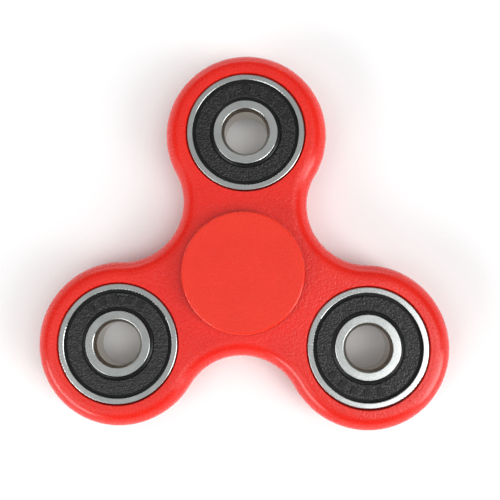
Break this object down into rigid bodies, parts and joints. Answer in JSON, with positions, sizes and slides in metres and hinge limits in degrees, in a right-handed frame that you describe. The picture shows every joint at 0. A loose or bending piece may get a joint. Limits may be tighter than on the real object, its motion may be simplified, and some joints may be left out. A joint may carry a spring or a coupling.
{
  "type": "fidget spinner",
  "caption": "Flat three-lobed hand spinner on a central ball bearing, with round finger caps and a sealed ball bearing in each lobe.",
  "frame": {"origin": "centre of the middle bearing: on the spin axis, halfway through the thickness", "axes": "+Z along the spin axis out of the upper finger cap, +Y towards lobe 1, +X to the right of it"},
  "size_m": [0.0758, 0.0696, 0.012],
  "materials": {
    "frame_plastic": "satin red moulded plastic",
    "cap_plastic": "matte red moulded plastic",
    "ring_steel": "fine ground bearing steel",
    "ball_steel": "polished bearing steel",
    "cage_steel": "pressed steel sheet",
    "crown_nylon": "natural moulded nylon",
    "seal_rubber": "black moulded rubber"
  },
  "bodies": {
    "hub": {"top_finger_cap": "cap_plastic", "bottom_finger_cap": "cap_plastic", "centre_inner_ring": "ring_steel"},
    "rotor": {"tri_frame": "frame_plastic", "centre_outer_ring": "ring_steel", "lobe_1_outer_ring": "ring_steel", "lobe_1_upper_seal": "seal_rubber", "lobe_1_lower_seal": "seal_rubber", "lobe_2_outer_ring": "ring_steel", "lobe_2_upper_seal": "seal_rubber", "lobe_2_lower_seal": "seal_rubber", "lobe_3_outer_ring": "ring_steel", "lobe_3_upper_seal": "seal_rubber", "lobe_3_lower_seal": "seal_rubber"},
    "centre_cage": {"centre_crown_cage": "crown_nylon"},
    "centre_ball_1": {"centre_ball_1": "ball_steel"},
    "centre_ball_2": {"centre_ball_2": "ball_steel"},
    "centre_ball_3": {"centre_ball_3": "ball_steel"},
    "centre_ball_4": {"centre_ball_4": "ball_steel"},
    "centre_ball_5": {"centre_ball_5": "ball_steel"},
    "centre_ball_6": {"centre_ball_6": "ball_steel"},
    "centre_ball_7": {"centre_ball_7": "ball_steel"},
    "lobe_1_inner": {"lobe_1_inner_ring": "ring_steel"},
    "lobe_1_cage": {"lobe_1_upper_cage_half": "cage_steel", "lobe_1_lower_cage_half": "cage_steel"},
    "lobe_1_ball_1": {"lobe_1_ball_1": "ball_steel"},
    "lobe_1_ball_2": {"lobe_1_ball_2": "ball_steel"},
    "lobe_1_ball_3": {"lobe_1_ball_3": "ball_steel"},
    "lobe_1_ball_4": {"lobe_1_ball_4": "ball_steel"},
    "lobe_1_ball_5": {"lobe_1_ball_5": "ball_steel"},
    "lobe_1_ball_6": {"lobe_1_ball_6": "ball_steel"},
    "lobe_1_ball_7": {"lobe_1_ball_7": "ball_steel"},
    "lobe_2_inner": {"lobe_2_inner_ring": "ring_steel"},
    "lobe_2_cage": {"lobe_2_upper_cage_half": "cage_steel", "lobe_2_lower_cage_half": "cage_steel"},
    "lobe_2_ball_1": {"lobe_2_ball_1": "ball_steel"},
    "lobe_2_ball_2": {"lobe_2_ball_2": "ball_steel"},
    "lobe_2_ball_3": {"lobe_2_ball_3": "ball_steel"},
    "lobe_2_ball_4": {"lobe_2_ball_4": "ball_steel"},
    "lobe_2_ball_5": {"lobe_2_ball_5": "ball_steel"},
    "lobe_2_ball_6": {"lobe_2_ball_6": "ball_steel"},
    "lobe_2_ball_7": {"lobe_2_ball_7": "ball_steel"},
    "lobe_3_inner": {"lobe_3_inner_ring": "ring_steel"},
    "lobe_3_cage": {"lobe_3_upper_cage_half": "cage_steel", "lobe_3_lower_cage_half": "cage_steel"},
    "lobe_3_ball_1": {"lobe_3_ball_1": "ball_steel"},
    "lobe_3_ball_2": {"lobe_3_ball_2": "ball_steel"},
    "lobe_3_ball_3": {"lobe_3_ball_3": "ball_steel"},
    "lobe_3_ball_4": {"lobe_3_ball_4": "ball_steel"},
    "lobe_3_ball_5": {"lobe_3_ball_5": "ball_steel"},
    "lobe_3_ball_6": {"lobe_3_ball_6": "ball_steel"},
    "lobe_3_ball_7": {"lobe_3_ball_7": "ball_steel"}
  },
  "joints": [
    {"name": "frame_spin", "type": "hinge", "parent": "hub", "child": "rotor", "pos_m": [0, 0, 0], "axis": [0, 0, 1], "continuous": true},
    {"name": "centre_cage_orbit", "type": "hinge", "parent": "hub", "child": "centre_cage", "pos_m": [0, 0, 0], "axis": [0, 0, 1], "continuous": true},
    {"name": "centre_ball_1_roll", "type": "hinge", "parent": "centre_cage", "child": "centre_ball_1", "pos_m": [0, 0.0075, 0], "axis": [0, 0, 1], "continuous": true},
    {"name": "centre_ball_2_roll", "type": "hinge", "parent": "centre_cage", "child": "centre_ball_2", "pos_m": [-0.00586, 0.00468, 0], "axis": [0, 0, 1], "continuous": true},
    {"name": "centre_ball_3_roll", "type": "hinge", "parent": "centre_cage", "child": "centre_ball_3", "pos_m": [-0.00731, -0.00167, 0], "axis": [0, 0, 1], "continuous": true},
    {"name": "centre_ball_4_roll", "type": "hinge", "parent": "centre_cage", "child": "centre_ball_4", "pos_m": [-0.00325, -0.00676, 0], "axis": [0, 0, 1], "continuous": true},
    {"name": "centre_ball_5_roll", "type": "hinge", "parent": "centre_cage", "child": "centre_ball_5", "pos_m": [0.00325, -0.00676, 0], "axis": [0, 0, 1], "continuous": true},
    {"name": "centre_ball_6_roll", "type": "hinge", "parent": "centre_cage", "child": "centre_ball_6", "pos_m": [0.00731, -0.00167, 0], "axis": [0, 0, 1], "continuous": true},
    {"name": "centre_ball_7_roll", "type": "hinge", "parent": "centre_cage", "child": "centre_ball_7", "pos_m": [0.00586, 0.00468, 0], "axis": [0, 0, 1], "continuous": true},
    {"name": "lobe_1_inner_spin", "type": "hinge", "parent": "rotor", "child": "lobe_1_inner", "pos_m": [0, 0.0263, 0], "axis": [0, 0, 1], "continuous": true},
    {"name": "lobe_1_cage_orbit", "type": "hinge", "parent": "rotor", "child": "lobe_1_cage", "pos_m": [0, 0.0263, 0], "axis": [0, 0, 1], "continuous": true},
    {"name": "lobe_1_ball_1_roll", "type": "hinge", "parent": "lobe_1_cage", "child": "lobe_1_ball_1", "pos_m": [0, 0.0338, 0], "axis": [0, 0, 1], "continuous": true},
    {"name": "lobe_1_ball_2_roll", "type": "hinge", "parent": "lobe_1_cage", "child": "lobe_1_ball_2", "pos_m": [-0.00586, 0.03098, 0], "axis": [0, 0, 1], "continuous": true},
    {"name": "lobe_1_ball_3_roll", "type": "hinge", "parent": "lobe_1_cage", "child": "lobe_1_ball_3", "pos_m": [-0.00731, 0.02463, 0], "axis": [0, 0, 1], "continuous": true},
    {"name": "lobe_1_ball_4_roll", "type": "hinge", "parent": "lobe_1_cage", "child": "lobe_1_ball_4", "pos_m": [-0.00325, 0.01954, 0], "axis": [0, 0, 1], "continuous": true},
    {"name": "lobe_1_ball_5_roll", "type": "hinge", "parent": "lobe_1_cage", "child": "lobe_1_ball_5", "pos_m": [0.00325, 0.01954, 0], "axis": [0, 0, 1], "continuous": true},
    {"name": "lobe_1_ball_6_roll", "type": "hinge", "parent": "lobe_1_cage", "child": "lobe_1_ball_6", "pos_m": [0.00731, 0.02463, 0], "axis": [0, 0, 1], "continuous": true},
    {"name": "lobe_1_ball_7_roll", "type": "hinge", "parent": "lobe_1_cage", "child": "lobe_1_ball_7", "pos_m": [0.00586, 0.03098, 0], "axis": [0, 0, 1], "continuous": true},
    {"name": "lobe_2_inner_spin", "type": "hinge", "parent": "rotor", "child": "lobe_2_inner", "pos_m": [-0.02278, -0.01315, 0], "axis": [0, 0, 1], "continuous": true},
    {"name": "lobe_2_cage_orbit", "type": "hinge", "parent": "rotor", "child": "lobe_2_cage", "pos_m": [-0.02278, -0.01315, 0], "axis": [0, 0, 1], "continuous": true},
    {"name": "lobe_2_ball_1_roll", "type": "hinge", "parent": "lobe_2_cage", "child": "lobe_2_ball_1", "pos_m": [-0.02927, -0.0169, 0], "axis": [0, 0, 1], "continuous": true},
    {"name": "lobe_2_ball_2_roll", "type": "hinge", "parent": "lobe_2_cage", "child": "lobe_2_ball_2", "pos_m": [-0.02389, -0.02057, 0], "axis": [0, 0, 1], "continuous": true},
    {"name": "lobe_2_ball_3_roll", "type": "hinge", "parent": "lobe_2_cage", "child": "lobe_2_ball_3", "pos_m": [-0.01768, -0.01865, 0], "axis": [0, 0, 1], "continuous": true},
    {"name": "lobe_2_ball_4_roll", "type": "hinge", "parent": "lobe_2_cage", "child": "lobe_2_ball_4", "pos_m": [-0.0153, -0.01259, 0], "axis": [0, 0, 1], "continuous": true},
    {"name": "lobe_2_ball_5_roll", "type": "hinge", "parent": "lobe_2_cage", "child": "lobe_2_ball_5", "pos_m": [-0.01855, -0.00695, 0], "axis": [0, 0, 1], "continuous": true},
    {"name": "lobe_2_ball_6_roll", "type": "hinge", "parent": "lobe_2_cage", "child": "lobe_2_ball_6", "pos_m": [-0.02499, -0.00598, 0], "axis": [0, 0, 1], "continuous": true},
    {"name": "lobe_2_ball_7_roll", "type": "hinge", "parent": "lobe_2_cage", "child": "lobe_2_ball_7", "pos_m": [-0.02976, -0.01041, 0], "axis": [0, 0, 1], "continuous": true},
    {"name": "lobe_3_inner_spin", "type": "hinge", "parent": "rotor", "child": "lobe_3_inner", "pos_m": [0.02278, -0.01315, 0], "axis": [0, 0, 1], "continuous": true},
    {"name": "lobe_3_cage_orbit", "type": "hinge", "parent": "rotor", "child": "lobe_3_cage", "pos_m": [0.02278, -0.01315, 0], "axis": [0, 0, 1], "continuous": true},
    {"name": "lobe_3_ball_1_roll", "type": "hinge", "parent": "lobe_3_cage", "child": "lobe_3_ball_1", "pos_m": [0.02927, -0.0169, 0], "axis": [0, 0, 1], "continuous": true},
    {"name": "lobe_3_ball_2_roll", "type": "hinge", "parent": "lobe_3_cage", "child": "lobe_3_ball_2", "pos_m": [0.02976, -0.01041, 0], "axis": [0, 0, 1], "continuous": true},
    {"name": "lobe_3_ball_3_roll", "type": "hinge", "parent": "lobe_3_cage", "child": "lobe_3_ball_3", "pos_m": [0.02499, -0.00598, 0], "axis": [0, 0, 1], "continuous": true},
    {"name": "lobe_3_ball_4_roll", "type": "hinge", "parent": "lobe_3_cage", "child": "lobe_3_ball_4", "pos_m": [0.01855, -0.00695, 0], "axis": [0, 0, 1], "continuous": true},
    {"name": "lobe_3_ball_5_roll", "type": "hinge", "parent": "lobe_3_cage", "child": "lobe_3_ball_5", "pos_m": [0.0153, -0.01259, 0], "axis": [0, 0, 1], "continuous": true},
    {"name": "lobe_3_ball_6_roll", "type": "hinge", "parent": "lobe_3_cage", "child": "lobe_3_ball_6", "pos_m": [0.01768, -0.01865, 0], "axis": [0, 0, 1], "continuous": true},
    {"name": "lobe_3_ball_7_roll", "type": "hinge", "parent": "lobe_3_cage", "child": "lobe_3_ball_7", "pos_m": [0.02389, -0.02057, 0], "axis": [0, 0, 1], "continuous": true}
  ],
  "couplings": [
    {"joint": "centre_cage_orbit", "follows": "frame_spin", "ratio": 0.6323},
    {"joint": "centre_ball_1_roll", "follows": "frame_spin", "ratio": 1.7573},
    {"joint": "centre_ball_2_roll", "follows": "frame_spin", "ratio": 1.7573},
    {"joint": "centre_ball_3_roll", "follows": "frame_spin", "ratio": 1.7573},
    {"joint": "centre_ball_4_roll", "follows": "frame_spin", "ratio": 1.7573},
    {"joint": "centre_ball_5_roll", "follows": "frame_spin", "ratio": 1.7573},
    {"joint": "centre_ball_6_roll", "follows": "frame_spin", "ratio": 1.7573},
    {"joint": "centre_ball_7_roll", "follows": "frame_spin", "ratio": 1.7573},
    {"joint": "lobe_1_cage_orbit", "follows": "lobe_1_inner_spin", "ratio": 0.3677},
    {"joint": "lobe_1_ball_1_roll", "follows": "lobe_1_inner_spin", "ratio": -1.7573},
    {"joint": "lobe_1_ball_2_roll", "follows": "lobe_1_inner_spin", "ratio": -1.7573},
    {"joint": "lobe_1_ball_3_roll", "follows": "lobe_1_inner_spin", "ratio": -1.7573},
    {"joint": "lobe_1_ball_4_roll", "follows": "lobe_1_inner_spin", "ratio": -1.7573},
    {"joint": "lobe_1_ball_5_roll", "follows": "lobe_1_inner_spin", "ratio": -1.7573},
    {"joint": "lobe_1_ball_6_roll", "follows": "lobe_1_inner_spin", "ratio": -1.7573},
    {"joint": "lobe_1_ball_7_roll", "follows": "lobe_1_inner_spin", "ratio": -1.7573},
    {"joint": "lobe_2_cage_orbit", "follows": "lobe_2_inner_spin", "ratio": 0.3677},
    {"joint": "lobe_2_ball_1_roll", "follows": "lobe_2_inner_spin", "ratio": -1.7573},
    {"joint": "lobe_2_ball_2_roll", "follows": "lobe_2_inner_spin", "ratio": -1.7573},
    {"joint": "lobe_2_ball_3_roll", "follows": "lobe_2_inner_spin", "ratio": -1.7573},
    {"joint": "lobe_2_ball_4_roll", "follows": "lobe_2_inner_spin", "ratio": -1.7573},
    {"joint": "lobe_2_ball_5_roll", "follows": "lobe_2_inner_spin", "ratio": -1.7573},
    {"joint": "lobe_2_ball_6_roll", "follows": "lobe_2_inner_spin", "ratio": -1.7573},
    {"joint": "lobe_2_ball_7_roll", "follows": "lobe_2_inner_spin", "ratio": -1.7573},
    {"joint": "lobe_3_cage_orbit", "follows": "lobe_3_inner_spin", "ratio": 0.3677},
    {"joint": "lobe_3_ball_1_roll", "follows": "lobe_3_inner_spin", "ratio": -1.7573},
    {"joint": "lobe_3_ball_2_roll", "follows": "lobe_3_inner_spin", "ratio": -1.7573},
    {"joint": "lobe_3_ball_3_roll", "follows": "lobe_3_inner_spin", "ratio": -1.7573},
    {"joint": "lobe_3_ball_4_roll", "follows": "lobe_3_inner_spin", "ratio": -1.7573},
    {"joint": "lobe_3_ball_5_roll", "follows": "lobe_3_inner_spin", "ratio": -1.7573},
    {"joint": "lobe_3_ball_6_roll", "follows": "lobe_3_inner_spin", "ratio": -1.7573},
    {"joint": "lobe_3_ball_7_roll", "follows": "lobe_3_inner_spin", "ratio": -1.7573}
  ]
}
